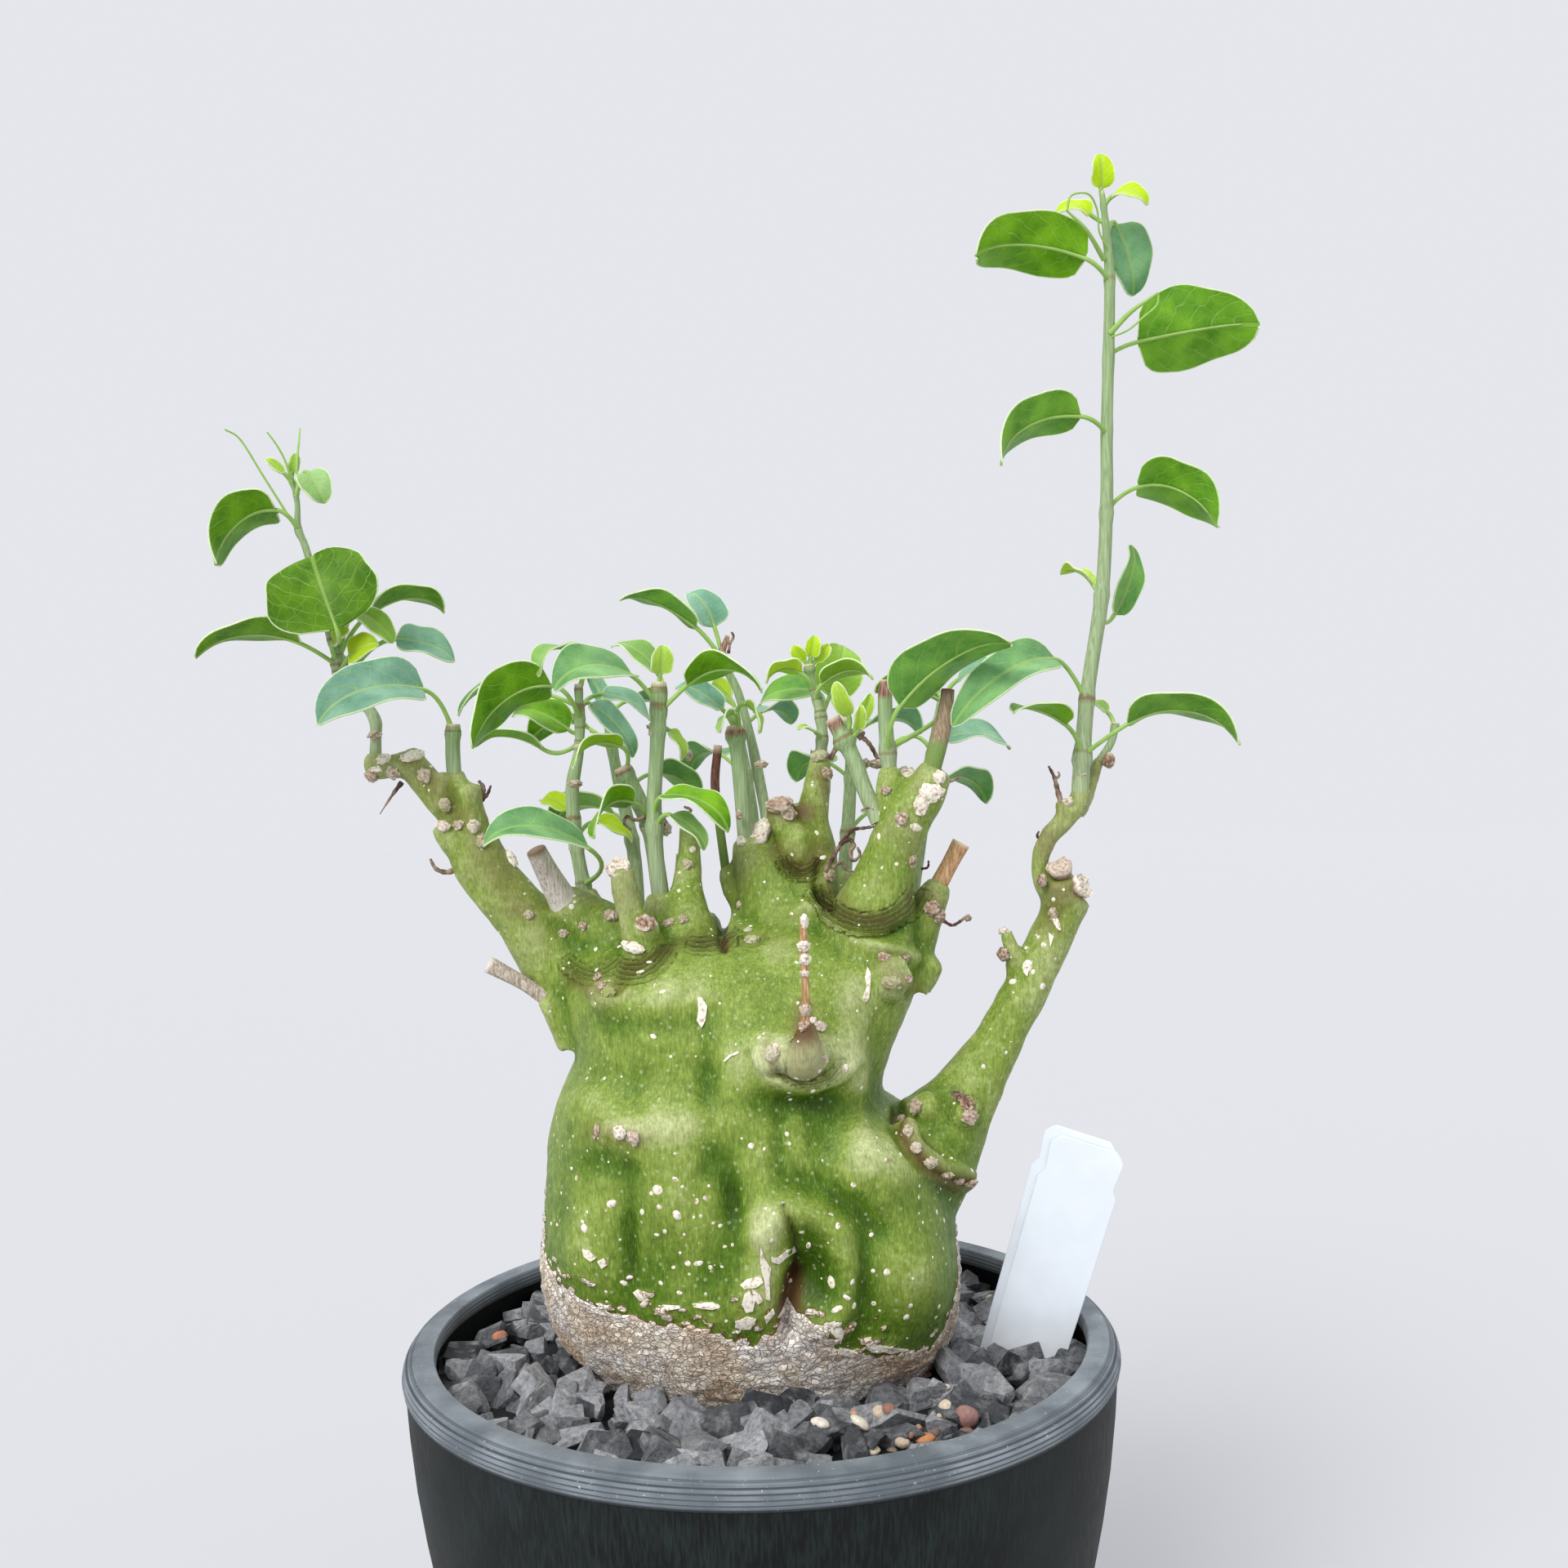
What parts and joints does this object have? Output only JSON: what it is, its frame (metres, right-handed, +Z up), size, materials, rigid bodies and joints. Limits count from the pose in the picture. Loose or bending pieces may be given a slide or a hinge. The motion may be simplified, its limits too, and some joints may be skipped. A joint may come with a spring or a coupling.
{
  "type": "potted adenia",
  "caption": "Swollen green caudex with fleshy cut limbs and slender leafy shoots, standing in a gravel-topped round plastic pot with white plant labels.",
  "frame": {"origin": "centre of the pot's underside, on the flat pad it rests on", "axes": "+Z up; -Y towards the front, the side the picture shows; +X to the right of the picture, the side with the labels and the tallest shoot"},
  "size_m": [0.2292, 0.15, 0.3684],
  "materials": {
    "pot": "satin",
    "soil": "matte",
    "gravel": "matte",
    "label": "satin",
    "caudex": "satin",
    "shoot": "satin",
    "dead_wood": "matte"
  },
  "bodies": {
    "root": {"pot": "pot", "soil": "soil", "gravel": "gravel", "label_front": "label", "label_back": "label", "caudex": "caudex", "tall_right_shoot": "shoot", "right_stub_leaf": "shoot", "left_shoot": "shoot", "left_stub_shoot": "shoot", "crown_left_shoot": "shoot", "crown_left_stub": "shoot", "crown_cut_shoot": "shoot", "crown_middle_stub": "shoot", "crown_middle_shoot": "shoot", "crown_young_shoot": "shoot", "crown_leaning_stub": "shoot", "crown_upright_stub": "shoot", "back_left_shoot": "shoot", "back_middle_shoot": "shoot", "back_right_shoot": "shoot", "back_outer_shoot": "shoot", "crown_brown_stub": "dead_wood", "crown_right_stub": "dead_wood", "dead_twig_left": "dead_wood", "dead_twig_front": "dead_wood", "dead_stub_grey": "dead_wood", "dead_stub_right": "dead_wood"}
  },
  "joints": []
}
